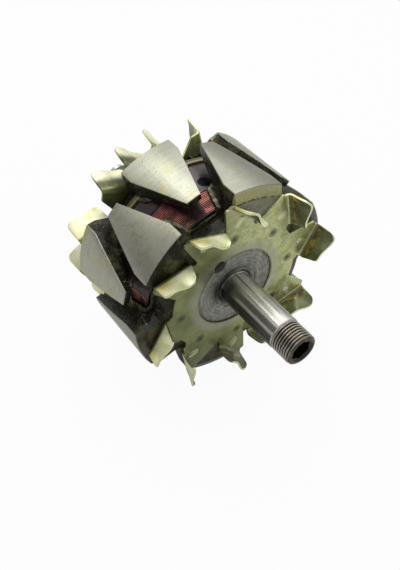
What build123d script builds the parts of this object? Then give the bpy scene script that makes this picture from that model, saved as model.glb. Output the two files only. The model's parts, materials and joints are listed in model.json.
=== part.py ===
from build123d import *
import os
from math import asin, cos, radians, sin

# Rotor of a car alternator, with claw poles. Millimetres.
# The shaft lies along X, with the threaded drive end at +X, and +Z is up as it lies.
# The origin is on the shaft's axis, in the plane of the drive end hub face.
# Each piece is drawn round its own Z, which then becomes X. Angles run from +Z towards +Y.

# Shaft
SEAT_RADIUS = 8.5
SEAT_LENGTH = 36.3
THREAD_LENGTH = 12.7
THREAD_RADIUS = 8.3
NOSE_CHAMFER = 1.5
PRESS_RADIUS = 8.8
SHOULDER_LENGTH = 5.6
REAR_JOURNAL_RADIUS = 7.5
REAR_JOURNAL_LENGTH = 16.0
TAIL_RADIUS = 5.0
TAIL_STANDS_OUT = 5.0
TAIL_CHAMFER = 1.5

# Six lobed drive socket in the shaft's nose
SOCKET_MOUTH_RADIUS = 6.3
SOCKET_MOUTH_DEPTH = 0.8
SOCKET_LOBES = 6
SOCKET_CORE_RADIUS = 4.6
SOCKET_LOBE_RADIUS = 1.15
SOCKET_LOBE_PITCH_RADIUS = 4.25
SOCKET_DEPTH = 8.0

# Claw poles
CLAWS = 6
CLAW_OUTER_RADIUS = 55.2
CLAW_HALF_WIDTH = 13.75
CLAW_TIP_HALF_WIDTH = 3.75
CLAW_PARALLEL_END = 10.2
CLAW_REACH = 41.8
CLAW_TIP_THICKNESS = 3.5
CLAW_ROOT_THICKNESS = 9.9
SHOULDER_BEVEL_RADIAL = 5.0
SHOULDER_BEVEL_AXIAL = 2.0
DISC_THICKNESS = 8.5
VALLEY_DEPTH = 14.7
VALLEY_FILLET = 4.0
CORE_RADIUS = 27.0
CORE_LENGTH = 18.5
HUB_BOSS_RADIUS = 21.5
HUB_BOSS_HEIGHT = 0.7
BORE_CHAMFER = 1.0
STAKE_RADIUS = 12.0
STAKE_WIDTH = 1.1
STAKE_DEPTH = 0.5
STAKE_GAP = 27.0
STAKES = 4
FIRST_STAKE_GAP = 43.0
STAKE_SIDES = 24
DRIVE_POLE_ANGLE = 12.0

# Coil: bobbin, winding and the sheet wrapped round it
BOBBIN_WALL = 1.5
FRONT_FLANGE_THICKNESS = 1.2
REAR_FLANGE_THICKNESS = 3.0
FRONT_FLANGE_SETBACK = 3.1
PETAL_THICKNESS = 0.8
PETAL_MARGIN = 1.4
DRIVE_PETAL_LENGTH = 17.0
REAR_PETAL_LENGTH = 11.0
PETAL_CHAMFER = 4.0
CLAW_CLEARANCE = 0.2
FIT_CLEARANCE = 0.15
WRAP_THICKNESS = 0.6
WRAP_START = 13.0

# Fans, stamped and folded from sheet
SHEET = 1.2
BEND_RADIUS = 2.0
BLADE_LEAN = 6.5
FAN_HOLE_CLEARANCE = 0.2
FLOOR_RADIUS = 36.5
NOTCH_RADIUS = 3.0
DIMPLE_LENGTH = 7.0
DIMPLE_WIDTH = 3.2
DIMPLE_HEIGHT = 0.6
DIMPLE_CORNER = 1.0
DIMPLE_SLOPE = 45.0
DIMPLE_RADIUS = 41.5
DIMPLE_OFFSET = 4.0
DIMPLE_TURN = 40.0
LEAF_ROUNDING = 1.2

# Each blade: where its fold starts and ends, from its own angle
DRIVE_FOLD_START_RADIUS = 53.1
DRIVE_FOLD_END_RADIUS = 41.4
DRIVE_FOLD_SWEEP = 18.5
DRIVE_LEAF_CORNER_DROP = 1.8
DRIVE_LEAF_CORNER_LAG = 4.5
DRIVE_BLADE_HEIGHT = 11.0
DRIVE_BLADE_INNER_HEIGHT = 10.2
DRIVE_BLADE_SLANT = 2.9
DRIVE_BLADE_ROUNDING = 3.2
DRIVE_FIRST_BLADE = -33.0
DRIVE_PITCHES = [27.0, 38.0, 40.0, 47.0, 28.0]
DRIVE_ROOT_LAGS = [7.0, 6.5, 17.5, 12.0, 11.5]
DRIVE_NOTCH_ANGLE = -29.5
DRIVE_RELIEF = 0.6

REAR_FOLD_START_RADIUS = 54.0
REAR_FOLD_END_RADIUS = 39.6
REAR_FOLD_SWEEP = 15.0
REAR_LEAF_CORNER_DROP = 3.0
REAR_LEAF_CORNER_LAG = 5.5
REAR_BLADE_HEIGHT = 13.0
REAR_BLADE_INNER_HEIGHT = 12.4
REAR_BLADE_SLANT = 1.0
REAR_BLADE_ROUNDING = 3.0
REAR_FIRST_BLADE = -98.5
REAR_PITCHES = [22.0, 31.5, 17.5, 17.5, 28.5, 31.5, 31.5]
REAR_ROOT_LAG = 11.0
REAR_NOTCH_ANGLE = 81.5
REAR_RELIEF = 2.4

# Slip rings on their moulded sleeve
SLEEVE_RADIUS = 6.4
SLEEVE_RIM_RADIUS = 7.0
RING_THICKNESS = 0.8
RING_WIDTH = 8.5
RING_GAP = 3.0
SLEEVE_FLANGE = 4.5
SLEEVE_END_FLANGE = 5.0
SLEEVE_END_CHAMFER = 1.0

# Leads from the winding to the slip rings, and their sleeves
LEAD_RADIUS = 0.6
LEAD_SIDES = 6
LEAD_BEND = 1.5
LEAD_RUN_RADIUS = 5.7
LEAD_CHANNEL_CLEARANCE = 0.2
TUBE_WALL = 0.55
TUBE_START_RADIUS = 11.0
TUBE_SIDES = 12
POLE_GROOVE_WIDTH = 3.2
POLE_GROOVE_DEPTH = 3.2
LEAD_EDGE_MARGIN = 2.4
LEAD_POLE_CLEARANCE = 1.25

# Worked out from the sizes above
POLE_FACE = -HUB_BOSS_HEIGHT
DISC_BACK = POLE_FACE - DISC_THICKNESS
MIDDLE = DISC_BACK - CORE_LENGTH
REAR_POLE_FACE = 2 * MIDDLE - POLE_FACE
REAR_HUB_FACE = 2 * MIDDLE
VALLEY_FLOOR_RADIUS = CLAW_OUTER_RADIUS - VALLEY_DEPTH
CLAW_ROOT_RADIUS = CLAW_OUTER_RADIUS - CLAW_ROOT_THICKNESS
FLANGE_RADIUS = CLAW_ROOT_RADIUS - CLAW_CLEARANCE
FRONT_FLANGE_RADIUS = FLANGE_RADIUS - FRONT_FLANGE_SETBACK
BOBBIN_INNER_RADIUS = CORE_RADIUS + FIT_CLEARANCE
WINDING_INNER_RADIUS = BOBBIN_INNER_RADIUS + BOBBIN_WALL
PETAL_INNER_RADIUS = FLANGE_RADIUS - PETAL_THICKNESS
WRAP_RADIUS = PETAL_INNER_RADIUS - FIT_CLEARANCE
WINDING_RADIUS = WRAP_RADIUS - WRAP_THICKNESS
BOBBIN_FRONT = DISC_BACK - FIT_CLEARANCE
BOBBIN_REAR = 2 * MIDDLE - BOBBIN_FRONT
WINDING_FRONT = BOBBIN_FRONT - FRONT_FLANGE_THICKNESS
WINDING_REAR = BOBBIN_REAR + REAR_FLANGE_THICKNESS
FAN_HOLE_RADIUS = HUB_BOSS_RADIUS + FAN_HOLE_CLEARANCE
NOSE = SEAT_LENGTH + THREAD_LENGTH
JOURNAL_START = REAR_HUB_FACE - SHOULDER_LENGTH
JOURNAL_END = JOURNAL_START - REAR_JOURNAL_LENGTH
INNER_RING_START = JOURNAL_END - SLEEVE_FLANGE
OUTER_RING_START = INNER_RING_START - RING_WIDTH - RING_GAP
SLEEVE_END = OUTER_RING_START - RING_WIDTH - SLEEVE_END_FLANGE
TAIL_END = SLEEVE_END - TAIL_STANDS_OUT
RING_RADIUS = SLEEVE_RADIUS + RING_THICKNESS
LEAD_DEPTH = REAR_POLE_FACE + POLE_GROOVE_DEPTH / 2
LEAD_OUTER_RADIUS = VALLEY_FLOOR_RADIUS + LEAD_RADIUS + LEAD_POLE_CLEARANCE
LEAD_ANGLES = [DRIVE_POLE_ANGLE, DRIVE_POLE_ANGLE + 180]
FULL_TURN = 360
OVERRUN = 1.0
NEAR = 0.01

ALONG_SHAFT = Plane(origin=(0, 0, 0), x_dir=(0, 0, 1), z_dir=(1, 0, 0))


def spot(radius, angle):
    """Point of the drawing plane at this radius and angle."""
    return Vector(radius * cos(radians(angle)), -radius * sin(radians(angle)))


def turned(points):
    """Solid turned round the axis from (radius, height) points, its seam under a claw."""
    profile = Plane.XZ * make_face(Polyline(*points, close=True))
    return Rot(0, 0, -DRIVE_POLE_ANGLE) * revolve(profile, Axis.Z)


def ring(inner, outer, start, end):
    """Plain ring between two heights."""
    return turned([(inner, start), (outer, start), (outer, end), (inner, end)])


def disc(radius, start, end):
    """Plain disc between two heights."""
    return turned([(0, start), (radius, start), (radius, end), (0, end)])


def radial_plane(angle):
    """Plane that looks out along this angle, with the shaft's axis upwards."""
    out = spot(1, angle)
    return Plane(origin=(0, 0, 0), x_dir=(-out.Y, out.X, 0), z_dir=(out.X, out.Y, 0))


def radial_bar(angle, width, inner, outer, start, end):
    """Bar along a radius, for grooves and channels."""
    outline = Pos(0, (start + end) / 2) * Rectangle(width, abs(end - start))
    return extrude(radial_plane(angle).offset(inner) * outline, outer - inner)


def edges_along_axis(solid, radius):
    """Straight edges parallel to the axis at this radius."""
    straight = solid.edges().filter_by(GeomType.LINE).filter_by(Axis.Z)
    return [e for e in straight if abs(Vector(e.center().X, e.center().Y).length - radius) < NEAR]


def save(solid, name):
    """Lay the piece along the shaft and write it."""
    solid = ALONG_SHAFT.location * solid
    solid.label = name
    export_step(solid, os.path.join("parts", name + ".step"))


def socket():
    """Six lobed recess with a wider mouth."""
    lobes = Circle(SOCKET_CORE_RADIUS)
    for number in range(SOCKET_LOBES):
        centre = spot(SOCKET_LOBE_PITCH_RADIUS, number * FULL_TURN / SOCKET_LOBES)
        lobes += Pos(centre.X, centre.Y) * Circle(SOCKET_LOBE_RADIUS)
    recess = extrude(Pos(0, 0, NOSE - SOCKET_DEPTH) * lobes, SOCKET_DEPTH + OVERRUN)
    mouth = turned([
        (0, NOSE + OVERRUN), (SOCKET_MOUTH_RADIUS, NOSE + OVERRUN), (SOCKET_MOUTH_RADIUS, NOSE),
        (SOCKET_MOUTH_RADIUS - SOCKET_MOUTH_DEPTH, NOSE - SOCKET_MOUTH_DEPTH),
        (0, NOSE - SOCKET_MOUTH_DEPTH)])
    return recess + mouth


def shaft():
    """Stepped shaft: nose, bearing seat, press seat, rear journal and tail."""
    steps = turned([
        (0, NOSE), (THREAD_RADIUS - NOSE_CHAMFER, NOSE), (THREAD_RADIUS, NOSE - NOSE_CHAMFER),
        (THREAD_RADIUS, SEAT_LENGTH), (SEAT_RADIUS, SEAT_LENGTH), (SEAT_RADIUS, 0), (PRESS_RADIUS, 0),
        (PRESS_RADIUS, JOURNAL_START), (REAR_JOURNAL_RADIUS, JOURNAL_START),
        (REAR_JOURNAL_RADIUS, JOURNAL_END), (TAIL_RADIUS, JOURNAL_END),
        (TAIL_RADIUS, TAIL_END + TAIL_CHAMFER), (TAIL_RADIUS - TAIL_CHAMFER, TAIL_END), (0, TAIL_END)])
    for angle in LEAD_ANGLES:
        steps -= radial_bar(angle, POLE_GROOVE_WIDTH, TAIL_RADIUS, PRESS_RADIUS + OVERRUN,
                            REAR_POLE_FACE + POLE_GROOVE_DEPTH, JOURNAL_END)
    return steps - socket()


def claw_outline(margin, reach, start):
    """A claw seen from outside: parallel sides, then a straight taper, all wider by a margin."""
    taper = (CLAW_HALF_WIDTH - CLAW_TIP_HALF_WIDTH) / (CLAW_REACH - CLAW_PARALLEL_END)
    end_half = CLAW_TIP_HALF_WIDTH + margin + taper * (CLAW_REACH - reach)
    wide = CLAW_HALF_WIDTH + margin
    return make_face(Polyline(
        (-wide, POLE_FACE + start), (-wide, POLE_FACE - CLAW_PARALLEL_END),
        (-end_half, POLE_FACE - reach), (end_half, POLE_FACE - reach),
        (wide, POLE_FACE - CLAW_PARALLEL_END), (wide, POLE_FACE + start), close=True))


def claw_ring():
    """The ring that the claws are cut from: bevelled shoulder, sloping inside."""
    tip = POLE_FACE - CLAW_REACH
    return turned([
        (CORE_RADIUS, POLE_FACE),
        (CLAW_OUTER_RADIUS - SHOULDER_BEVEL_RADIAL, POLE_FACE),
        (CLAW_OUTER_RADIUS, POLE_FACE - SHOULDER_BEVEL_AXIAL),
        (CLAW_OUTER_RADIUS, tip), (CLAW_OUTER_RADIUS - CLAW_TIP_THICKNESS, tip),
        (CLAW_ROOT_RADIUS, DISC_BACK), (CORE_RADIUS, DISC_BACK)])


def stakes():
    """Arc shaped marks where the hub was staked to the shaft."""
    band = RegularPolygon(STAKE_RADIUS + STAKE_WIDTH / 2, STAKE_SIDES)
    band -= RegularPolygon(STAKE_RADIUS - STAKE_WIDTH / 2, STAKE_SIDES)
    marks = extrude(Pos(0, 0, -STAKE_DEPTH) * band, STAKE_DEPTH + OVERRUN)
    width = 2 * STAKE_RADIUS * sin(radians(STAKE_GAP / 2))
    for number in range(STAKES):
        angle = FIRST_STAKE_GAP + number * FULL_TURN / STAKES
        marks -= radial_bar(angle, width, 0, HUB_BOSS_RADIUS, -STAKE_DEPTH - OVERRUN, 2 * OVERRUN)
    return marks


def pole(first_claw):
    """Forged pole: hub with half the core, disc and six tapered claws."""
    body = disc(VALLEY_FLOOR_RADIUS, DISC_BACK, POLE_FACE)
    blank = claw_ring()
    outline = claw_outline(0, CLAW_REACH + OVERRUN, OVERRUN)
    for number in range(CLAWS):
        plane = radial_plane(first_claw + number * FULL_TURN / CLAWS)
        body += blank & extrude(plane * outline, CLAW_OUTER_RADIUS + OVERRUN)
    body = fillet(edges_along_axis(body, VALLEY_FLOOR_RADIUS), VALLEY_FILLET)
    body += disc(CORE_RADIUS, MIDDLE, DISC_BACK)
    body += disc(HUB_BOSS_RADIUS, POLE_FACE, 0)
    bore = turned([
        (0, MIDDLE - OVERRUN), (PRESS_RADIUS, MIDDLE - OVERRUN), (PRESS_RADIUS, -BORE_CHAMFER),
        (PRESS_RADIUS + BORE_CHAMFER, 0), (PRESS_RADIUS + BORE_CHAMFER, OVERRUN), (0, OVERRUN)])
    return body - bore - stakes()


def drive_end_pole():
    return pole(DRIVE_POLE_ANGLE)


def rear_pole():
    """The same forging turned by half a claw pitch, with two grooves for the leads."""
    half_pitch = FULL_TURN / CLAWS / 2
    body = Pos(0, 0, 2 * MIDDLE) * mirror(pole(DRIVE_POLE_ANGLE + half_pitch), about=Plane.XY)
    for angle in LEAD_ANGLES:
        body -= radial_bar(angle, POLE_GROOVE_WIDTH, 0, CLAW_OUTER_RADIUS,
                           REAR_POLE_FACE + POLE_GROOVE_DEPTH, REAR_HUB_FACE - OVERRUN)
    return body


def petals(first_claw, length, flange_thickness):
    """Tongues that keep the winding off the claws, each with the flange's edge that carries it."""
    reach = FIT_CLEARANCE + DISC_THICKNESS + length
    hoop = turned([
        (FRONT_FLANGE_RADIUS, BOBBIN_FRONT), (FLANGE_RADIUS, BOBBIN_FRONT),
        (FLANGE_RADIUS, POLE_FACE - reach), (PETAL_INNER_RADIUS, POLE_FACE - reach),
        (PETAL_INNER_RADIUS, BOBBIN_FRONT - flange_thickness),
        (FRONT_FLANGE_RADIUS, BOBBIN_FRONT - flange_thickness)])
    outline = claw_outline(PETAL_MARGIN, reach, 0)
    outline = chamfer(outline.vertices().sort_by(Axis.Y)[:2], PETAL_CHAMFER)
    tongues = []
    for number in range(CLAWS):
        plane = radial_plane(first_claw + number * FULL_TURN / CLAWS)
        tongues.append(hoop & extrude(plane * outline, CLAW_OUTER_RADIUS))
    return tongues


def coil_bobbin():
    """Moulded bobbin: tube, two flanges, the front one low between claws, and petals."""
    body = turned([
        (BOBBIN_INNER_RADIUS, BOBBIN_FRONT), (FRONT_FLANGE_RADIUS, BOBBIN_FRONT),
        (FRONT_FLANGE_RADIUS, WINDING_FRONT), (WINDING_INNER_RADIUS, WINDING_FRONT),
        (WINDING_INNER_RADIUS, WINDING_REAR), (FLANGE_RADIUS, WINDING_REAR),
        (FLANGE_RADIUS, BOBBIN_REAR), (BOBBIN_INNER_RADIUS, BOBBIN_REAR)])
    for tongue in petals(DRIVE_POLE_ANGLE, DRIVE_PETAL_LENGTH, FRONT_FLANGE_THICKNESS):
        body += tongue
    half_pitch = FULL_TURN / CLAWS / 2
    for tongue in petals(DRIVE_POLE_ANGLE + half_pitch, REAR_PETAL_LENGTH, REAR_FLANGE_THICKNESS):
        body += Pos(0, 0, 2 * MIDDLE) * mirror(tongue, about=Plane.XY)
    width = 2 * (LEAD_RADIUS + LEAD_CHANNEL_CLEARANCE)
    for angle in LEAD_ANGLES:
        body -= radial_bar(angle, width, LEAD_OUTER_RADIUS - width / 2, LEAD_OUTER_RADIUS + width / 2,
                           BOBBIN_REAR - OVERRUN, WINDING_REAR + OVERRUN)
    return body


def field_winding():
    return ring(WINDING_INNER_RADIUS, WINDING_RADIUS, WINDING_REAR, WINDING_FRONT)


def winding_wrap():
    """Insulating sheet round the rear part of the winding."""
    return ring(WINDING_RADIUS, WRAP_RADIUS, WINDING_REAR, WINDING_FRONT - WRAP_START)


def blade_frame(start, end):
    """Directions along the fold and outwards across it, and the fold's length."""
    along = (end - start).normalized()
    across = Vector(along.Y, -along.X)
    if across.dot(start) < 0:
        across = across * -1
    return along, across, (end - start).length


def blade(start, end, height, inner_height, slant, rounding):
    """One blade with its bend, folded up out of the plate along start to end."""
    along, across, fold = blade_frame(start, end)
    lean = sin(radians(BLADE_LEAN)) / cos(radians(BLADE_LEAN))
    bend = BEND_RADIUS + SHEET
    strip = make_face(Polyline(
        (-bend, -SHEET), (-SHEET * lean, -SHEET), (height * lean, height),
        (height * lean - SHEET, height), (-SHEET, 0), (-bend, 0), close=True))
    outside = Vector(-SHEET * lean, -SHEET)
    inside = Vector(-SHEET, 0)
    strip = fillet([v for v in strip.vertices() if (Vector(v.X, v.Y) - outside).length < NEAR], bend)
    strip = fillet([v for v in strip.vertices() if (Vector(v.X, v.Y) - inside).length < NEAR], BEND_RADIUS)
    up = Vector(0, 0, 1)
    facing = across.cross(up)
    section = Plane(origin=start, x_dir=across, z_dir=facing)
    sweep_way = fold if facing.dot(along) > 0 else -fold
    folded = extrude(section * strip, sweep_way)
    outline = make_face(Polyline(
        (0, -2 * SHEET), (0, height), (fold - slant, inner_height), (fold, BEND_RADIUS),
        (fold, -2 * SHEET), close=True))
    tops = outline.vertices().sort_by(Axis.Y)[-2:]
    outline = fillet(tops, rounding)
    side = Plane(origin=start, x_dir=along, z_dir=along.cross(up))
    window = extrude(side * outline, 2 * height, both=True)
    return folded & window


def leaf_points(own, previous_root, fan):
    """Corners of one leaf of the plate, from its root round to the next slot."""
    start = spot(fan["start_radius"], own)
    end = spot(fan["end_radius"], own + fan["sweep"])
    along, across, fold = blade_frame(start, end)
    inset = across * (BEND_RADIUS + SHEET)
    return [
        spot(FLOOR_RADIUS, previous_root),
        spot(fan["start_radius"] - fan["corner_drop"], own - fan["corner_lag"]),
        start - inset,
        end - inset,
        spot(FLOOR_RADIUS, own + fan["sweep"] + fan["relief"])]


def fan_plate(fan):
    """Leafed plate with its hole, drawn as one outline with arcs in the wide gaps."""
    count = len(fan["angles"])
    plate = Circle(FLOOR_RADIUS)
    for number in range(count):
        own = fan["angles"][number]
        corners = leaf_points(own, own - fan["root_lags"][number], fan)
        leaf = make_face(Polyline((0, 0), *[(c.X, c.Y) for c in corners], close=True))
        tip = min(leaf.vertices(), key=lambda v: (Vector(v.X, v.Y) - corners[1]).length)
        plate += fillet(tip, LEAF_ROUNDING)
    notch = spot(FAN_HOLE_RADIUS, fan["notch_angle"])
    plate -= Circle(FAN_HOLE_RADIUS) + Pos(notch.X, notch.Y) * Circle(NOTCH_RADIUS)
    return extrude(plate, -SHEET)


def dimple(angle):
    """Stiffening dimple pressed forward beside the fold, and the hollow that it leaves behind."""
    centre = spot(DIMPLE_RADIUS, angle + DIMPLE_OFFSET)
    place = Pos(centre.X, centre.Y) * Rot(0, 0, -angle - DIMPLE_OFFSET - DIMPLE_TURN)
    outline = Rectangle(DIMPLE_LENGTH, DIMPLE_WIDTH)
    raised = extrude(place * chamfer(outline.vertices(), DIMPLE_CORNER), DIMPLE_HEIGHT, taper=DIMPLE_SLOPE)
    narrow = Rectangle(DIMPLE_LENGTH - SHEET, DIMPLE_WIDTH - SHEET)
    hollow = extrude(Pos(0, 0, -SHEET) * place * narrow, DIMPLE_HEIGHT)
    return raised, hollow


def fan(spec):
    """Plate, dimples and folded blades as the one stamping."""
    body = fan_plate(spec)
    for own in spec["angles"]:
        start = spot(spec["start_radius"], own)
        end = spot(spec["end_radius"], own + spec["sweep"])
        body += blade(start, end, spec["height"], spec["inner_height"], spec["slant"], spec["rounding"])
        if spec["dimples"]:
            raised, hollow = dimple(own)
            body = body + raised - hollow
    return body


def blade_angles(first, pitches):
    """Angles of the uneven pattern, which repeats after half a turn."""
    angles = []
    own = first
    for pitch in pitches * 2:
        angles.append(own)
        own += pitch
    return angles


def drive_end_fan():
    spec = dict(
        angles=blade_angles(DRIVE_FIRST_BLADE, DRIVE_PITCHES), root_lags=DRIVE_ROOT_LAGS * 2,
        start_radius=DRIVE_FOLD_START_RADIUS, end_radius=DRIVE_FOLD_END_RADIUS, sweep=DRIVE_FOLD_SWEEP,
        corner_drop=DRIVE_LEAF_CORNER_DROP, corner_lag=DRIVE_LEAF_CORNER_LAG,
        height=DRIVE_BLADE_HEIGHT, inner_height=DRIVE_BLADE_INNER_HEIGHT, slant=DRIVE_BLADE_SLANT,
        rounding=DRIVE_BLADE_ROUNDING, relief=DRIVE_RELIEF, notch_angle=DRIVE_NOTCH_ANGLE, dimples=True)
    return Pos(0, 0, POLE_FACE + SHEET) * fan(spec)


def rear_fan():
    pitches = REAR_PITCHES * 2
    lags = []
    for number in range(len(pitches)):
        free = pitches[number - 1] - REAR_FOLD_SWEEP - REAR_RELIEF
        lags.append(min(REAR_ROOT_LAG, free))
    spec = dict(
        angles=blade_angles(REAR_FIRST_BLADE, REAR_PITCHES), root_lags=lags,
        start_radius=REAR_FOLD_START_RADIUS, end_radius=REAR_FOLD_END_RADIUS, sweep=REAR_FOLD_SWEEP,
        corner_drop=REAR_LEAF_CORNER_DROP, corner_lag=REAR_LEAF_CORNER_LAG,
        height=REAR_BLADE_HEIGHT, inner_height=REAR_BLADE_INNER_HEIGHT, slant=REAR_BLADE_SLANT,
        rounding=REAR_BLADE_ROUNDING, relief=0.0, notch_angle=REAR_NOTCH_ANGLE, dimples=False)
    return Pos(0, 0, REAR_POLE_FACE - SHEET) * mirror(fan(spec), about=Plane.XY)


def lead_route(angle, ring_start):
    """Out of the winding, in along the pole's groove, then along the shaft."""
    inner = spot(LEAD_RUN_RADIUS, angle)
    outer = spot(LEAD_OUTER_RADIUS, angle)
    return [
        (outer.X, outer.Y, WINDING_REAR), (outer.X, outer.Y, LEAD_DEPTH),
        (inner.X, inner.Y, LEAD_DEPTH), (inner.X, inner.Y, ring_start - RING_WIDTH / 2)]


def coil_lead(angle, ring_start):
    """Wire swept along its route, kept six sided because it is so thin."""
    route = FilletPolyline(*lead_route(angle, ring_start), radius=LEAD_BEND)
    return sweep(Plane(route @ 0, z_dir=route % 0) * RegularPolygon(LEAD_RADIUS, LEAD_SIDES), path=route)


def lead_tube(angle):
    """Insulating tube on the lead's run across the pole."""
    outer = LEAD_OUTER_RADIUS - LEAD_BEND - LEAD_EDGE_MARGIN
    hole = LEAD_RADIUS + FIT_CLEARANCE / 2
    plane = radial_plane(angle).offset(TUBE_START_RADIUS)
    wall = RegularPolygon(hole + TUBE_WALL, TUBE_SIDES) - RegularPolygon(hole, TUBE_SIDES)
    section = Pos(0, LEAD_DEPTH) * wall
    return extrude(plane * section, outer - TUBE_START_RADIUS)


def slip_ring(start):
    return ring(SLEEVE_RADIUS, RING_RADIUS, start - RING_WIDTH, start)


def slip_ring_insulator():
    """Moulded sleeve with a seat for each ring and a channel for each lead."""
    inner_ring_end = INNER_RING_START - RING_WIDTH
    outer_ring_end = OUTER_RING_START - RING_WIDTH
    body = turned([
        (TAIL_RADIUS, JOURNAL_END), (SLEEVE_RIM_RADIUS, JOURNAL_END),
        (SLEEVE_RIM_RADIUS, INNER_RING_START), (SLEEVE_RADIUS, INNER_RING_START),
        (SLEEVE_RADIUS, inner_ring_end), (SLEEVE_RIM_RADIUS, inner_ring_end),
        (SLEEVE_RIM_RADIUS, OUTER_RING_START), (SLEEVE_RADIUS, OUTER_RING_START),
        (SLEEVE_RADIUS, outer_ring_end), (SLEEVE_RIM_RADIUS, outer_ring_end),
        (SLEEVE_RIM_RADIUS, SLEEVE_END + SLEEVE_END_CHAMFER),
        (SLEEVE_RIM_RADIUS - SLEEVE_END_CHAMFER, SLEEVE_END), (TAIL_RADIUS, SLEEVE_END)])
    width = 2 * (LEAD_RADIUS + LEAD_CHANNEL_CLEARANCE)
    for angle, start in zip(LEAD_ANGLES, [INNER_RING_START, OUTER_RING_START]):
        body -= radial_bar(angle, width, 0, SLEEVE_RADIUS, start - RING_WIDTH / 2 - OVERRUN,
                           JOURNAL_END + OVERRUN)
    return body


def main():
    os.makedirs("parts", exist_ok=True)
    save(shaft(), "shaft")
    save(drive_end_pole(), "drive_end_pole")
    save(rear_pole(), "rear_pole")
    save(coil_bobbin(), "coil_bobbin")
    save(field_winding(), "field_winding")
    save(winding_wrap(), "winding_wrap")
    save(drive_end_fan(), "drive_end_fan")
    save(rear_fan(), "rear_fan")
    save(slip_ring_insulator(), "slip_ring_insulator")
    save(slip_ring(INNER_RING_START), "slip_ring_inner")
    save(slip_ring(OUTER_RING_START), "slip_ring_outer")
    for angle, start, letter in zip(LEAD_ANGLES, [INNER_RING_START, OUTER_RING_START], "ab"):
        save(coil_lead(angle, start), "coil_lead_" + letter)
        save(lead_tube(angle), "lead_sleeve_" + letter)


main()
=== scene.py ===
import json
from collections import namedtuple
from math import atan2, cos, hypot, pi, radians, sin, sqrt

import bmesh
import bpy
from mathutils import Matrix, Vector, noise


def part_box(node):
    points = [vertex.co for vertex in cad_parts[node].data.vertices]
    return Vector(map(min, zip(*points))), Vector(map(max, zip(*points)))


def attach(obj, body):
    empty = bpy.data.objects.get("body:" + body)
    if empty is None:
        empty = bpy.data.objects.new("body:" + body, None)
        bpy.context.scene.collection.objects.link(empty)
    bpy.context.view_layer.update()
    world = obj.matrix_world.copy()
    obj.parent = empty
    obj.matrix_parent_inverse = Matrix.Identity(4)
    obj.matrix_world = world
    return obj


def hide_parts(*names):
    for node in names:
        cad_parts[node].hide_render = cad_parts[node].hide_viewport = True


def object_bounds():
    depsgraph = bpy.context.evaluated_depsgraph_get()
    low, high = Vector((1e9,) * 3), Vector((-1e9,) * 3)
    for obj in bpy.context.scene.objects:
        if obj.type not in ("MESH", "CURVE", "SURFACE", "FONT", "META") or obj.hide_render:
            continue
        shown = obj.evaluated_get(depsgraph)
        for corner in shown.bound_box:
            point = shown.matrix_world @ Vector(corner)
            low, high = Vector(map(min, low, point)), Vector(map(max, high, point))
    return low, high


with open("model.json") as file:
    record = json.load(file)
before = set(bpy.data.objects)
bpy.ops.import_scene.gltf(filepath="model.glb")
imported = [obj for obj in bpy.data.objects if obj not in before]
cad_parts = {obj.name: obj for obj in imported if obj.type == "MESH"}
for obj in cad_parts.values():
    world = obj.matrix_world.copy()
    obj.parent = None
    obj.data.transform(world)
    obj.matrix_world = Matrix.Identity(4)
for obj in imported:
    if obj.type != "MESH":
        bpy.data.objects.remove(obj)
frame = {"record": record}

bl_info = {
    "name": "Alternator rotor",
    "version": (1, 0, 0),
    "blender": (4, 5, 0),
    "location": "View3D > Sidebar > Rotor",
    "description": "Dresses a claw pole rotor with its metal, plating, winding and varnish",
    "category": "Object",
}

# Named sizes are in millimetres, and meshes and properties in metres
MM = 0.001
CAD_LOW, CAD_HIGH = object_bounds()

# Places along the shaft, and the claws' radius, from the frame
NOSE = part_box("shaft")[1][0] / MM
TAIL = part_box("shaft")[0][0] / MM
WINDING_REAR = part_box("field_winding")[0][0] / MM
WINDING_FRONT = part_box("field_winding")[1][0] / MM
WRAP_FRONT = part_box("winding_wrap")[1][0] / MM
REAR_HUB_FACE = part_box("rear_pole")[0][0] / MM
CLAW_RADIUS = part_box("drive_end_pole")[1][2] / MM

# The shaft's turned steps
TAIL_RADIUS = 5.0
TAIL_CHAMFER = 1.5
JOURNAL = (-77.0, -61.0)
JOURNAL_RADIUS = 7.5
PRESS_RADIUS = 8.8
STEP_CHAMFER = 0.4
SEAT_RADIUS = 8.5
THREAD_START = 36.3
THREAD_RADIUS = 8.3
NOSE_ROUNDING = 1.5

# The drive socket: its mouth as (along, radius), then the radii of its lobes
SOCKET_MOUTH = ((NOSE, 6.3), (NOSE - 0.8, 5.45))
SOCKET_START = NOSE - 0.9
SOCKET_FLOOR = NOSE - 8.0
SOCKET_CONE = 0.6
SOCKET_RADII = (4.6, 5.35)
SOCKET_LOBES = 6
LOBE_FULLNESS = 0.8

# Grooves for the leads in the shaft
LEAD_TURNS = (radians(12.0), radians(192.0))
GROOVE_WIDTH = 3.2
GROOVE_END = REAR_HUB_FACE + 3.0

# The coil and the sheet round it
COIL_RADII = (28.65, 43.55)
WRAP_RADII = (43.56, 43.95)
WIRE_PITCH = (WINDING_FRONT - WINDING_REAR) / round(WINDING_FRONT - WINDING_REAR)

# Steps of a full spin
AROUND = 240


def share(value, low, high):
    """How far value has gone from low to high, smoothly, from 0 to 1."""
    part = min(1.0, max(0.0, (value - low) / (high - low)))
    return part * part * (3 - 2 * part)


def toned(colour, factor):
    """A colour made darker or lighter by a factor."""
    return tuple(part * factor for part in colour)


def distance(first, second):
    """Distance from two offsets at a right angle."""
    return (first * first + second * second) ** 0.5


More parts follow.
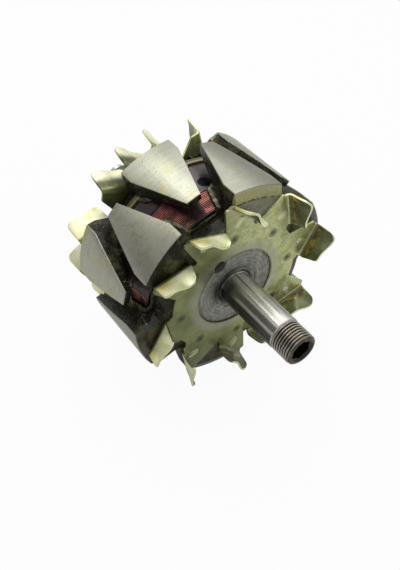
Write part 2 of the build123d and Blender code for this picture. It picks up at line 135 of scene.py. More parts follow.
class Value:
    """A socket that takes part in Python expressions and adds Math nodes."""

    def __init__(self, nodes, socket):
        self.nodes = nodes
        self.socket = socket

    def maths(self, operation, *others):
        return self.nodes.node("ShaderNodeMath", {"operation": operation}, [self, *others])

    def __add__(self, other):
        return self.maths("ADD", other)

    def __sub__(self, other):
        return self.maths("SUBTRACT", other)

    def __rsub__(self, other):
        return self * -1 + other

    def __mul__(self, other):
        return self.maths("MULTIPLY", other)

    def __truediv__(self, other):
        return self.maths("DIVIDE", other)

    def __pow__(self, other):
        return self.maths("POWER", other)

    __radd__ = __add__
    __rmul__ = __mul__

    def most(self, other):
        return self.maths("MAXIMUM", other)

    def from_middle(self):
        """Offset from the middle of each whole step, from -0.5 to 0.5."""
        return self - self.maths("FLOOR") - 0.5

    def between(self, low, high, start=0.0, end=1.0):
        """Smooth step: start below low, end above high."""
        return self.nodes.node("ShaderNodeMapRange", {"interpolation_type": "SMOOTHSTEP"}, {
            "Value": self, "From Min": low, "From Max": high, "To Min": start, "To Max": end})

    def fades(self, low, high, start=1.0):
        """Smooth step down: start below low, 0 above high."""
        return self.between(low, high, start, 0.0)

    def band(self, low, high, soft):
        """1 between low and high, with soft edges."""
        return self.between(low - soft, low + soft) * self.fades(high - soft, high + soft)


class Nodes:
    """A node tree that starts empty and is filled by calls."""

    def __init__(self, tree):
        self.tree = tree
        self.tree.nodes.clear()

    def node(self, kind, settings=None, inputs=None, out=0):
        """Add a node, set it up, feed it, and hand back one output, or the node itself."""
        made = self.tree.nodes.new(kind)
        for key, setting in (settings or {}).items():
            setattr(made, key, setting)
        pairs = enumerate(inputs) if isinstance(inputs, (list, tuple)) else (inputs or {}).items()
        for key, given in pairs:
            self.feed(made.inputs[key], given)
        return made if out is None else Value(self, made.outputs[out])

    def feed(self, socket, given):
        if isinstance(given, Value):
            self.tree.links.new(given.socket, socket)
        elif isinstance(given, (tuple, list)) and len(given) == 3 and socket.type == "RGBA":
            socket.default_value = (*given, 1.0)
        else:
            socket.default_value = given

    def blend(self, factor, first, second, way="MIX"):
        """Mix two colours."""
        made = self.node("ShaderNodeMix", {"data_type": "RGBA", "blend_type": way}, out=None)
        self.feed(made.inputs[0], factor)
        self.feed(made.inputs[6], first)
        self.feed(made.inputs[7], second)
        return Value(self, made.outputs[2])

    def layers(self, colour, *coats):
        """Lay each coat over what is there, as far as the coat's mask says."""
        for mask, coat in coats:
            colour = self.blend(mask, colour, coat)
        return colour

    def greys(self, factor, stops):
        """Grey ramp from (position, level) stops."""
        made = self.node("ShaderNodeValToRGB", inputs=[factor], out=None)
        band = made.color_ramp.elements
        while len(band) < len(stops):
            band.new(0.5)
        for element, (position, level) in zip(band, stops):
            element.position = position
            element.color = (level, level, level, 1.0)
        return Value(self, made.outputs[0])

    def backdrop_share(self, direct, mirrored):
        """How much of the plain backdrop the camera's own rays see, and mirrored ones."""
        rays = self.node("ShaderNodeLightPath", out=None)
        camera, glossy, through = (Value(self, rays.outputs[f"Is {kind} Ray"])
                                   for kind in ("Camera", "Glossy", "Transmission"))
        return (camera * direct).most(glossy.most(through) * mirrored)


class Finish(Nodes):
    """A material, with places on the rotor ready to use."""

    def __init__(self, name):
        self.material = bpy.data.materials.new(name)
        self.material.use_nodes = True
        super().__init__(self.material.node_tree)
        metres = self.node("ShaderNodeTexCoord", out="Object")
        self.place = self.node("ShaderNodeVectorMath", {"operation": "MULTIPLY"}, [metres, (1 / MM,) * 3])
        parts = self.node("ShaderNodeSeparateXYZ", inputs=[metres], out=None)
        self.x, self.y, self.z = (Value(self, output) * (1 / MM) for output in parts.outputs)
        self.radius = distance(self.y, self.z)
        self.turn = self.y.maths("ARCTAN2", self.z)

    def painted(self, name):
        """Share of a mark that the piece's mesh carries on its face corners."""
        return self.node("ShaderNodeAttribute", {"attribute_name": name}, out="Fac")

    def towards(self, degrees):
        """Cosine of the angle between this point and a direction round the shaft."""
        return (self.z * cos(radians(degrees)) + self.y * sin(radians(degrees))) / self.radius

    def rolled(self, along, around, outward=1.0):
        """Place unrolled round the shaft, times a factor in each direction."""
        return self.node("ShaderNodeCombineXYZ", inputs=[
            self.x * along, self.turn * around, self.radius * outward])

    def grain(self, size, detail=3.0, rough=0.55, vector=None):
        """Noise whose features are about this size, from 0 to 1."""
        return self.node("ShaderNodeTexNoise", inputs={
            "Vector": vector or self.place, "Scale": 1 / size, "Detail": detail, "Roughness": rough})

    def bump(self, height, depth, strength=1.0, under=None):
        """Bump of this depth for a height from 0 to 1."""
        feeds = {"Strength": strength, "Distance": depth * MM, "Height": height}
        if under is not None:
            feeds["Normal"] = under
        return self.node("ShaderNodeBump", inputs=feeds)

    def shade(self, **inputs):
        """Principled shader from socket names written with underscores."""
        named = {key.replace("_", " "): given for key, given in inputs.items()}
        return self.node("ShaderNodeBsdfPrincipled", inputs=named)

    def done(self, shader):
        self.node("ShaderNodeOutputMaterial", inputs=[shader], out=None)
        return self.material


# Turns in degrees of the claw that was wiped clean, and of the claws darkened with a painted shade, with
# their tone
CLEAN_CLAW = 12.0
PAINTED_SHADE_CLAWS = ((CLEAN_CLAW, 0.72), (-78.0, 0.78))
CLAW_SIDE = (0.86, 0.94)
COOL_WHITE = (1.0, 1.0, 1.02)

# Where the varnish gets a lighter tone as painted light, where it gets painted glints, and where the hub gets
# a painted shadow of the shaft
VARNISH_LIT_TURN = 95.0
GLINT_TURN = -64.0
SHADOW_TURN = -58.0

# The poles' front: disc behind the hub face, bevel of the claws, hub, and the notch that gets painted shade,
# as turn, distance, radius
DISC_FACE = 0.7
BEVEL_BACK = -2.4
BEVEL_INNER = CLAW_RADIUS - 5.5
HUB_RADIUS = 21.6
NOTCH = (radians(-29.5), 21.7, 3.3)

# Colours of the poles' steel and varnish, and of their painted light and shade
DRIVE_STAIN = (0.36, 0.33, 0.22)
REAR_STAIN = (0.58, 0.52, 0.2)
PIT_BROWN = (0.06, 0.05, 0.02)
VARNISH_AND_SHADE_BLACK = (0.006, 0.006, 0.003)
VARNISH_AND_SHADE_BROWN = (0.03, 0.027, 0.01)
VARNISH_DRY = (0.105, 0.095, 0.04)
VARNISH_PAINTED_LIGHT = (0.15, 0.145, 0.1)
VARNISH_GLINT = (0.85, 0.8, 0.5)
FRONT_TONES = ((0.03, 0.028, 0.012), (0.15, 0.14, 0.07))
CLEAN_FRONT_TONES = ((0.36, 0.36, 0.27), (0.5, 0.5, 0.38))
BEVEL_TONES = ((0.014, 0.014, 0.006), (0.085, 0.08, 0.04))
CLEAN_BEVEL_TONES = ((0.36, 0.35, 0.16), (0.5, 0.47, 0.24))
SEAM_DARK = (0.02, 0.018, 0.012)
EDGE_DARK = (0.05, 0.045, 0.028)
EDGE_BRIGHT = (0.46, 0.43, 0.3)
HUB_TONES = ((0.25, 0.255, 0.22), (0.41, 0.415, 0.355))
HUB_RINGS = (0.09, 0.09, 0.085)
HUB_SCRATCHES = (0.1, 0.1, 0.09)
HUB_ROOT_SHADE = (0.055, 0.057, 0.055)
HUB_SHADOW = (0.02, 0.021, 0.02)
HUB_RUST = (0.09, 0.06, 0.02)
NOTCH_SHADE = (0.02, 0.02, 0.018)
SATIN = (0.42, 0.42, 0.42)


def pole_steel(name, steel, stain, streaks, face, reach_sign):
    """Forged steel: ground outside, dark varnish deepened by painted shade on the flanks, bare front face."""
    f = Finish(name)
    patches = f.grain(9.0)
    small = f.grain(2.4, 4.0, 0.65)
    drips = f.grain(1.3, 3.0, 0.6)
    speckle = f.grain(0.6, 3.0, 0.7)
    fine = f.grain(0.34, 2.0, 0.6, f.rolled(1.0, 2.0))
    waves = f.grain(1.3, 3.0, 0.6, f.rolled(1.0, 7.0))
    worn = f.painted("worn")
    clean = f.towards(CLEAN_CLAW).between(*CLAW_SIDE)
    depth = f.x * reach_sign + face
    ragged = (small - 0.5) * 1.6

    # The ground outside of the claws, with stains, scratches and pits
    stained = patches.between(0.5, 0.62) * small.between(0.4, 0.62, 0.0, 0.75) * (1 - clean * 0.8)
    ground = f.layers(
        f.blend(waves.between(0.35, 0.7, 0.0, streaks), steel, toned(steel, 0.6)),
        (stained, stain),
        (fine.between(0.45, 0.7, 0.0, streaks), toned(steel, 0.45)),
        (speckle.between(0.52, 0.7, 0.0, 0.35), toned(steel, 0.45)),
        (f.grain(0.9, 1.0).between(0.71, 0.75, 0.0, 0.85), PIT_BROWN))
    # Painted shade: the ground of these claws is darkened by their tone
    for side, tone in PAINTED_SHADE_CLAWS:
        shaded = f.blend(1.0, ground, toned(COOL_WHITE, tone), "MULTIPLY")
        ground = f.blend(f.towards(side).between(*CLAW_SIDE), ground, shaded)

    # The varnish on the flanks, near black partly from the varnish and partly as painted shade, with a
    # lighter side as painted light and painted glints
    # Painted glints: small gold specks on the varnish towards one side
    glint = f.grain(0.75, 2.0).between(0.66, 0.7) * f.grain(7.0, 1.0).between(0.5, 0.6)
    varnish = f.layers(
        f.blend(small.between(0.4, 0.7), VARNISH_AND_SHADE_BLACK, VARNISH_AND_SHADE_BROWN),
        (patches.between(0.52, 0.72, 0.0, 0.75), VARNISH_DRY),
        # Painted light: a lighter tone on the varnish towards the lit side
        (f.towards(VARNISH_LIT_TURN).between(0.76, 0.93, 0.0, 0.75), VARNISH_PAINTED_LIGHT),
        (glint * f.towards(GLINT_TURN).between(0.8, 0.95), VARNISH_GLINT))

    # The front faces and their bevels
    plated = f.blend(clean, f.blend(patches.between(0.45, 0.6), *FRONT_TONES),
                     f.blend(small.between(0.3, 0.7), *CLEAN_FRONT_TONES))
    bevelled = f.blend(clean, f.blend(patches.between(0.45, 0.65), *BEVEL_TONES),
                       f.blend(small, *CLEAN_BEVEL_TONES))
    bevel = (f.radius + ragged * 0.4).between(BEVEL_INNER, BEVEL_INNER + 0.5)
    bevel = bevel * depth.band(BEVEL_BACK, 0.2, 0.25)
    seam = (f.radius + ragged * 0.5).band(BEVEL_INNER - 0.1, BEVEL_INNER + 0.6, 0.2)
    seam = seam * depth.band(BEVEL_BACK, 0.4, 0.2) * drips.between(0.42, 0.52)

    # The bare hub, turned in rings, with painted shade round the shaft's root, a painted shadow of the shaft,
    # and painted shade in the notch
    turned = (f.radius * 3.4 + small * 1.2).maths("SINE") * 0.5 + 0.5
    shadow = f.towards(SHADOW_TURN).between(0.35, 0.95) * f.radius.fades(9.5, 17.0, 0.9)
    turn, away, wide = NOTCH
    notch = distance(f.y - away * sin(turn), f.z - away * cos(turn)).fades(wide, wide + 1.4, 0.85)
    rust = f.radius.band(HUB_RADIUS - 0.7, HUB_RADIUS + 0.3, 0.3) * small.between(0.35, 0.6, 0.0, 0.8)
    bare = f.layers(
        f.blend(f.grain(3.0).between(0.3, 0.7), *HUB_TONES),
        (turned.between(0.6, 0.95, 0.0, 0.3), HUB_RINGS),
        (fine.between(0.5, 0.7, 0.0, 0.4), HUB_SCRATCHES),
        (f.radius.fades(PRESS_RADIUS, 12.5, 0.75), HUB_ROOT_SHADE),
        (shadow, HUB_SHADOW),
        (notch, NOTCH_SHADE),
        (rust, HUB_RUST))

    # All of it together, with the worn edges on top
    rim = (f.radius + (small - 0.5) * 0.25).between(CLAW_RADIUS - 0.62, CLAW_RADIUS - 0.3)
    end = depth.between(-0.5, 0.4)
    hub = f.radius.fades(HUB_RADIUS, HUB_RADIUS + 0.3) * depth.between(-0.2, 0.3)
    crest = worn * drips.between(0.5, 0.66) * fine.between(0.4, 0.6, 0.3, 1.0)
    colour = f.layers(
        varnish,
        (end, plated),
        (bevel, bevelled),
        (seam * 0.9, SEAM_DARK),
        (hub, bare),
        (rim, ground),
        (worn * drips.fades(0.47, 0.56, 0.85), EDGE_DARK),
        (crest * 0.6, EDGE_BRIGHT))
    gloss = f.blend(rim, small.between(0.3, 0.7, 0.14, 0.3), fine.between(0.2, 0.8, 0.38, 0.52))
    height = f.blend(rim, small * 0.5 + drips * 0.6 + speckle * 0.35, fine * 0.08 + waves * 0.06)
    skin = (1 - rim) * (1 - hub) * (1 - end * 0.8)
    return f.done(f.shade(
        Base_Color=colour, Metallic=rim.most(hub * 0.9).most(end * 0.7).most(bevel * 0.5).most(crest),
        Roughness=f.blend(hub.most(end), gloss, SATIN), Specular_IOR_Level=0.14,
        Normal=f.bump(turned * hub, 0.02, 0.7, f.bump(height, 0.8, 0.9)),
        Coat_Weight=skin * 0.22, Coat_Roughness=0.04))


def drive_pole_steel(colours):
    return pole_steel("drive_pole_steel", tuple(colours.drive_steel), DRIVE_STAIN,
                      streaks=0.12, face=DISC_FACE, reach_sign=1.0)


def rear_pole_steel(colours):
    return pole_steel("rear_pole_steel", tuple(colours.rear_steel), REAR_STAIN,
                      streaks=0.2, face=REAR_HUB_FACE + DISC_FACE, reach_sign=-1.0)


# The fans' spot welds
WELDS = 8
FIRST_WELD = radians(-6.0)
WELD_RADIUS = 32.0
WELD_RIM = (2.2, 2.9)
WELD_MIDDLE = (0.9, 1.6)
WELD_HEIGHTS = (1.2, 1.6)

# Radii, heights over the plate and turns between which a fan's tones change
FAN_EYE = 22.0
PALE_RING = (24.5, 28.5)
BLADE_ROOT = (1.6, 3.2)
CORNER_RADII = (46.0, 52.0)
CORNER_HEIGHTS = (3.0, 9.0)
BEND_RADII = (37.0, 43.0)
BEND_HEIGHTS = (3.0, 8.5)
FOLD_HEIGHTS = (0.9, 2.4)
# Heights and turn of the painted shade on the rear fan's blades
BLADE_SHADE_HEIGHTS = (5.0, 10.0)
BLADE_SHADE_TURN = -38.0
# Turn of the side of the fans that gets painted light
LIT_SIDE_TURN = 75.0

# Colours of the fans' plating, of the varnish that has run over it, and of the painted light and shade on the
# plate and blades
PLATE_TONES = ((0.18, 0.205, 0.085), (0.3, 0.325, 0.135))
LIT_SIDE_TONES = ((0.52, 0.56, 0.22), (0.9, 0.92, 0.5))
PLATE_FILM = (0.4, 0.41, 0.13)
PLATE_FLECKS = (0.15, 0.165, 0.06)
RING_GREY = (0.39, 0.4, 0.33)
EYE_BROWN = (0.16, 0.12, 0.04)
WELD_GREY = (0.05, 0.06, 0.04)
OUTER_LIT_TONES = ((0.88, 0.93, 0.42), (1.0, 1.0, 0.7))
INNER_SHADE_TONES = ((0.08, 0.095, 0.05), (0.22, 0.24, 0.135))
CORNER_TONES = ((0.74, 0.6, 0.07), (0.46, 0.34, 0.03))
BLADE_SHADE_TONES = ((0.035, 0.042, 0.018), (0.2, 0.19, 0.05))
AMBER_AND_GLINT_TONES = ((0.07, 0.055, 0.008), (0.52, 0.43, 0.02))
SHEET_EDGE_LIT_TONES = ((0.1, 0.1, 0.04), (0.8, 0.81, 0.6))
DIMPLE_HIGHLIGHT = (0.8, 0.82, 0.5)
SPOT_BROWN = (0.14, 0.11, 0.02)
PIN_SPOTS = (0.04, 0.04, 0.02)
FOLD_VARNISH_AND_SHADE = (0.1, 0.095, 0.03)


def weld_marks(f):
    """Distance from the nearest of the round spot welds."""
    pitch = 2 * pi / WELDS
    off = ((f.turn - FIRST_WELD) * (1 / pitch) + 0.5).from_middle() * (pitch * WELD_RADIUS)
    return distance(off, f.radius - WELD_RADIUS)


def fan_plating(name, corner_stain, face, reach_sign):
    """Sheet steel with an uneven yellow passivated plating, painted light on its lit side and on the blades'
    outer faces, painted shade on their inner faces, and varnish in its bends.
    """
    f = Finish(name)
    drive_end = reach_sign > 0
    broad = f.grain(14.0)
    cloud = f.grain(5.0, 4.0, 0.6)
    pool = f.grain(3.2, 3.0, 0.6)
    fine = f.grain(0.55, 3.0, 0.65)
    inside = f.painted("inside")
    lit_side = f.towards(LIT_SIDE_TURN)
    depth = f.x * reach_sign + face

    # The plate, lighter on its lit side as painted light, with its welds on the drive end fan
    eye = (f.radius + (cloud - 0.5) * 0.8).fades(FAN_EYE, FAN_EYE + 0.5, 0.8)
    ring = (f.radius + (cloud - 0.5) * 3.0).fades(*PALE_RING)
    base = f.layers(
        f.blend(broad.between(0.35, 0.65), *PLATE_TONES),
        (lit_side.between(-0.5, 0.6) * 0.85, f.blend(cloud.between(0.35, 0.65), *LIT_SIDE_TONES)),
        (cloud.between(0.5, 0.7, 0.0, 0.5), PLATE_FILM),
        (fine.between(0.42, 0.62, 0.0, 0.55), PLATE_FLECKS),
        (ring * fine.between(0.3, 0.6, 0.85, 0.4), RING_GREY),
        (eye, EYE_BROWN))
    if drive_end:
        away = weld_marks(f)
        weld = away.fades(*WELD_RIM, 0.55) + away.fades(*WELD_MIDDLE, 0.35)
        base = f.blend(weld * depth.fades(*WELD_HEIGHTS), base, WELD_GREY)

    # The blades' outer faces, pale as painted light, with painted shade near the plate on the rear fan's
    # covered side
    corner = (f.radius + (pool - 0.5) * 8.0).between(*CORNER_RADII)
    corner = corner * depth.between(*CORNER_HEIGHTS, 1.0, 0.2)
    outer = f.blend(corner * corner_stain, f.blend(cloud.between(0.35, 0.6), *OUTER_LIT_TONES),
                    f.blend(cloud, *CORNER_TONES))
    if not drive_end:
        # Painted shade on the rear fan's outer faces near the plate, towards one side
        blade_shade = (depth + (cloud - 0.5) * 4.0).fades(*BLADE_SHADE_HEIGHTS, 0.92)
        blade_shade = blade_shade * f.towards(BLADE_SHADE_TURN).between(0.86, 0.95)
        outer = f.blend(blade_shade, outer, f.blend(pool.between(0.5, 0.7), *BLADE_SHADE_TONES))

    # The blades' inner faces, dark as painted shade, the dimples' painted highlights, the amber varnish in
    # the bends with painted glints, and the folds' dark band of varnish and painted shade
    blade = depth.between(*BLADE_ROOT)
    outside = blade * (1 - inside)
    bend = depth.fades(*BEND_HEIGHTS) * f.radius.between(*BEND_RADII)
    bend = bend * depth.between(-1.5, 0.4) * (inside * 0.85 + 0.15)
    amber = (pool * 0.3 + cloud * 0.4 + bend * 0.45).between(0.45, 0.75) * bend
    base = f.layers(
        base,
        (outside, outer),
        # Painted highlight on the dimples
        (f.painted("raised") * 0.6, DIMPLE_HIGHLIGHT),
        (blade * inside * 0.9, f.blend(cloud, *INNER_SHADE_TONES)),
        # Amber varnish in the bends, its yellow spots painted glints
        (amber, f.blend(pool.between(0.4, 0.75), *AMBER_AND_GLINT_TONES)),
        (f.grain(2.2, 4.0, 0.7).between(0.64, 0.72, 0.0, 0.4), SPOT_BROWN),
        (f.grain(0.9, 1.0).between(0.76, 0.8, 0.0, 0.8), PIN_SPOTS),
        # Dark band in the blades' inner folds: varnish and painted shade
        (depth.band(*FOLD_HEIGHTS, 0.5) * inside * 0.8, FOLD_VARNISH_AND_SHADE),
        # Worn sheet edges, darker on the shaded side and paler on the lit side as painted light and shade
        (f.painted("worn") * fine.between(0.3, 0.6, 0.4, 0.95),
         f.blend(lit_side.between(-0.2, 0.35), *SHEET_EDGE_LIT_TONES)))
    return f.done(f.shade(
        Base_Color=base, Metallic=0.7 - amber * 0.5 - outside * 0.3,
        Roughness=cloud.between(0.3, 0.7, 0.28, 0.42) - amber * 0.16,
        Normal=f.bump(cloud * 0.7 + fine * 0.14 + pool * amber * 1.2, 0.2, 0.7),
        Coat_Weight=amber, Coat_Roughness=0.05))


def fan_sheet(colours):
    return fan_plating("fan_sheet", corner_stain=0.75, face=0.0, reach_sign=1.0)


def rear_fan_sheet(colours):
    return fan_plating("rear_fan_sheet", corner_stain=0.4, face=REAR_HUB_FACE, reach_sign=-1.0)


# Painted dark reflections in bands along the shaft: turn in degrees, cosines where each begins and is full,
# and strength
SHAFT_REFLECTION_BANDS = ((-98.0, 0.78, 0.9, 1.0), (-46.0, 0.975, 0.996, 0.75), (50.0, 0.85, 0.98, 0.6))
HUB_SIDE_REFLECTION_TURN = -85.0
THREAD_FLANK = (7.75, 8.15)
SHAFT_TONES = ((0.76, 0.75, 0.68), (0.64, 0.63, 0.56))
SHAFT_DARK_REFLECTION = (0.016, 0.016, 0.014)
SHAFT_SCRATCHES = (0.2, 0.19, 0.16)
THREAD_GREY = (0.26, 0.24, 0.2)
THREAD_BROWN = (0.075, 0.048, 0.022)
SOCKET_SHADE = (0.045, 0.043, 0.04)


def shaft_steel(colours):
    """Ground steel with painted dark reflections in long streaks and bands, brown in the thread."""
    f = Finish("shaft_steel")
    fine = f.grain(0.12, 2.0, 0.5, f.rolled(1.0, 1.2))
    smear = f.grain(6.0)
    reflection_streak = f.grain(1.0, 3.0, 0.6, f.rolled(0.012, 4.2, 0.0))
    thin = f.grain(1.0, 2.0, 0.6, f.rolled(0.02, 16.0, 0.0))
    thread = f.x.between(THREAD_START - 0.1, THREAD_START + 0.2)
    groove = thread * (1 - f.radius.between(*THREAD_FLANK))
    mouth = SOCKET_MOUTH[0][1]
    # Painted shade inside the drive socket
    socket = f.radius.fades(mouth, mouth + 0.2, 0.9) * f.x.between(THREAD_START, THREAD_START + 0.5)
    hub_side_reflection = f.x.band(-1.0, 9.0, 6.0) * f.towards(HUB_SIDE_REFLECTION_TURN).between(0.2, 0.75)
    # Painted dark reflections: streaks, a band near the hub and bands by side
    shade = reflection_streak.between(0.54, 0.66, 0.0, 0.7).most(hub_side_reflection * thin.between(0.1, 0.4))
    for turn, low, high, strength in SHAFT_REFLECTION_BANDS:
        shade = shade.most(f.towards(turn).between(low, high, 0.0, strength))
    shade = shade * (1 - thread) * f.x.between(-1.0, 0.0)
    colour = f.layers(
        f.blend(smear.between(0.35, 0.7), *SHAFT_TONES),
        (shade * 0.95, SHAFT_DARK_REFLECTION),
        (thin.between(0.5, 0.7, 0.0, 0.5) * (1 - thread), SHAFT_SCRATCHES),
        (thread * 0.65, THREAD_GREY),
        (groove * smear.between(0.2, 0.6, 0.7, 0.95), THREAD_BROWN),
        (socket, SOCKET_SHADE))
    return f.done(f.shade(
        Base_Color=colour, Metallic=thread * 0.3 + 0.68, Specular_IOR_Level=0.25,
        Roughness=fine.between(0.2, 0.8, 0.24, 0.34) + thread * 0.08, Normal=f.bump(fine, 0.004, 0.4)))


# Colours of the bobbin's moulding; its front is near black inside this radius
DARK_FRONT_RADIUS = 42.4
BOBBIN_DARK = (0.035, 0.035, 0.018)
BOBBIN_DRIPS = (0.03, 0.028, 0.01)
FLANGE_TONES = ((0.05, 0.055, 0.035), (0.17, 0.175, 0.11))
FLANGE_EDGE = (0.36, 0.31, 0.09)
DARK_FRONT_BLACK = (0.01, 0.008, 0.004)


def bobbin_plastic(colours):
    """Yellow green moulding under varnish."""
    f = Finish("bobbin_plastic")
    cloud = f.grain(4.0)
    small = f.grain(1.1)
    rear = f.x.fades(WINDING_REAR - 0.2, WINDING_REAR + 0.1)
    edge = f.x.between(WINDING_REAR - 1.4, WINDING_REAR - 1.0)
    dark_front = f.radius.fades(DARK_FRONT_RADIUS, DARK_FRONT_RADIUS + 0.8)
    dark_front = dark_front * f.x.between(WINDING_FRONT - 1.0, WINDING_FRONT + 0.2)
    colour = f.layers(
        f.blend(cloud.between(0.45, 0.6), BOBBIN_DARK, tuple(colours.bobbin)),
        (small.between(0.5, 0.7, 0.0, 0.8), BOBBIN_DRIPS),
        (rear, f.blend(edge, f.blend(cloud, *FLANGE_TONES), FLANGE_EDGE)),
        (dark_front * small.between(0.45, 0.6, 0.97, 0.5), DARK_FRONT_BLACK))
    return f.done(f.shade(
        Base_Color=colour, Roughness=0.3, Normal=f.bump(cloud + small * 0.6, 0.7, 0.8),
        Specular_IOR_Level=0.25, Coat_Weight=0.3, Coat_Roughness=0.05))


# The rear pole's claws over the coil, in degrees, and where their tips end, for the painted shadow they cast
# on the coil
CLAW_PITCH = 60.0
REAR_CLAW = -18.0
CLAW_TIP = -11.0
CLAW_SLOPE = 0.25
WIRE_TONES = ((0.06, 0.01, 0.009), (0.22, 0.045, 0.03))
WIRE_CLAW_SHADOW = (0.008, 0.003, 0.003)
WIRE_STREAKS = (0.03, 0.008, 0.008)
WIRE_GROOVE_SHADE = (0.006, 0.002, 0.002)
COIL_REAR = (0.03, 0.012, 0.008)
COIL_FRONT = (0.015, 0.01, 0.006)


def claw_shadow(f):
    """1 on the coil beside the rear pole's claws, where their shadow is painted."""
    pitches = (f.turn * (180 / pi) - REAR_CLAW) * (1 / CLAW_PITCH) + 0.5
    off = pitches.from_middle().maths("ABSOLUTE") * CLAW_PITCH
    return (off - 2.0 + (f.x - CLAW_TIP) * CLAW_SLOPE).fades(0.0, 4.5)


def winding_copper(colours):
    """Red brown enamelled wire, with painted highlights on its crests, painted shade in its grooves, and
    darkest in the painted shadow beside the claws.
    """
    f = Finish("winding_copper")
    cross = f.grain(0.9, 2.0, 0.6, f.rolled(1.0, 14.0))
    cloud = f.grain(7.0, 3.0, 0.6, f.rolled(1.0, 20.0))
    side = (((f.x - WINDING_REAR) * (1 / WIRE_PITCH)).from_middle() * 2.0).maths("ABSOLUTE")
    # Painted highlights on the wires' crests in the wire colour, and painted shade in the grooves between the
    # turns
    crest = side.fades(0.1, 0.5) * cloud.between(0.38, 0.62, 0.15, 1.0)
    # Painted shadow of the claws on the coil
    claw_shadow_share = (claw_shadow(f) + (cloud - 0.5) * 0.5).between(0.3, 0.9, 0.0, 0.92)
    colour = f.layers(
        f.blend(cloud.between(0.35, 0.65), *WIRE_TONES),
        (crest, tuple(colours.wire)),
        (claw_shadow_share, WIRE_CLAW_SHADOW),
        (cross.between(0.5, 0.75, 0.0, 0.5), WIRE_STREAKS),
        (side.between(0.5, 0.8, 0.0, 0.97), WIRE_GROOVE_SHADE),
        (f.x.fades(WINDING_REAR - 0.6, WINDING_REAR - 0.1), COIL_REAR),
        (f.x.between(WINDING_FRONT - 1.6, WINDING_FRONT - 0.4, 0.0, 0.9), COIL_FRONT))
    return f.done(f.shade(
        Base_Color=colour, Metallic=0.6, Roughness=0.26, Normal=f.bump(cross, 0.14, 0.7),
        Coat_Weight=0.35, Coat_Roughness=0.07))


# The dark spot on the sheet: its place along and across, and its radius
SPOT_ALONG = -28.9
SPOT_ACROSS = 0.8
SPOT_RADIUS = 3.2
SPOT_BLACK = (0.002, 0.002, 0.006)
WRAP_DARK = (0.036, 0.02, 0.028)
WRAP_AMBER = (0.17, 0.1, 0.02)
WRAP_EDGE = (0.22, 0.17, 0.06)
WRAP_REAR = (0.07, 0.012, 0.008)


def wrap_sheet(colours):
    """Thin purple grey sheet, shiny with varnish, with one dark round spot."""
    f = Finish("wrap_sheet")
    cloud = f.grain(5.0)
    creases = f.grain(3.0, 2.0, 0.5, f.rolled(0.5, 50.0))
    spot = distance(f.x - SPOT_ALONG, f.y - SPOT_ACROSS).fades(SPOT_RADIUS, SPOT_RADIUS + 0.6)
    spot = spot * f.z.between(0.0, 1.0)
    edge = f.x.between(WRAP_FRONT - 1.4, WRAP_FRONT - 0.3) * creases.between(0.4, 0.6)
    colour = f.layers(
        f.blend(cloud.between(0.3, 0.7), WRAP_DARK, tuple(colours.wrap)),
        (f.grain(6.5, 2.0).between(0.62, 0.72, 0.0, 0.6), WRAP_AMBER),
        (edge, WRAP_EDGE),
        (f.x.fades(WINDING_REAR + 0.6, WINDING_REAR + 1.2, 0.8), WRAP_REAR),
        (spot, SPOT_BLACK))
    return f.done(f.shade(
        Base_Color=colour, Metallic=spot, Roughness=0.32, Normal=f.bump(creases, 0.25, 0.5),
        Specular_IOR_Level=0.3, Coat_Weight=(1 - spot) * 0.35, Coat_Roughness=0.1))


SLEEVE_BLACK = (0.05, 0.05, 0.045)
RING_TRACKS = ((-88.0, -83.5), (-99.5, -95.0))
RING_TONES = ((0.5, 0.24, 0.13), (0.34, 0.17, 0.1))
TRACK_DARK = (0.12, 0.08, 0.06)
TUBE_TONES = ((0.2, 0.16, 0.08), (0.4, 0.34, 0.2))
WEAVE = 5.0


def sleeve_plastic(colours):
    """Satin moulding with faint flow marks."""
    f = Finish("sleeve_plastic")
    cloud = f.grain(3.0)
    return f.done(f.shade(
        Base_Color=f.blend(cloud.between(0.3, 0.7), SLEEVE_BLACK, toned(SLEEVE_BLACK, 1.5)),
        Roughness=cloud.between(0.2, 0.8, 0.35, 0.47), Normal=f.bump(cloud, 0.05, 0.4)))


def ring_copper(colours):
    """Turned copper with a darker worn track in the middle of each ring."""
    f = Finish("ring_copper")
    turned = (f.x * 22.0 + f.grain(0.5) * 2.0).maths("SINE") * 0.5 + 0.5
    inner, outer = (f.x.band(*track, 0.5) for track in RING_TRACKS)
    colour = f.layers(
        f.blend(f.grain(2.0).between(0.3, 0.7), *RING_TONES),
        (inner.most(outer) * turned * 0.5, TRACK_DARK))
    return f.done(f.shade(Base_Color=colour, Metallic=1.0, Roughness=0.3, Normal=f.bump(turned, 0.01, 0.5)))


def lead_tube(colours):
    """Woven insulating tube stiff with varnish."""
    f = Finish("lead_tube")
    across = (f.x * WEAVE + f.z * WEAVE).maths("SINE")
    weave = across * (f.y * WEAVE - f.z * WEAVE).maths("SINE") * 0.5 + 0.5
    return f.done(f.shade(
        Base_Color=f.blend(weave, *TUBE_TONES), Roughness=0.45, Normal=f.bump(weave, 0.08, 0.6)))


FLOOR_SEEN = 0.95
FLOOR_MIRRORED = 0.3
WHITE = (1.0, 1.0, 1.0)


def floor_white(colours):
    """Pale matt floor, plain white to the camera but for the rotor's shadow."""
    f = Finish("floor_white")
    floor = tuple(colours.floor)
    lit = f.shade(Base_Color=f.blend(f.grain(200.0, 1.0), floor, toned(floor, 1.02)), Roughness=0.9)
    white = f.node("ShaderNodeEmission", inputs=[WHITE, 1.0])
    seen = f.backdrop_share(FLOOR_SEEN, FLOOR_MIRRORED)
    return f.done(f.node("ShaderNodeMixShader", inputs=[seen, lit, white]))


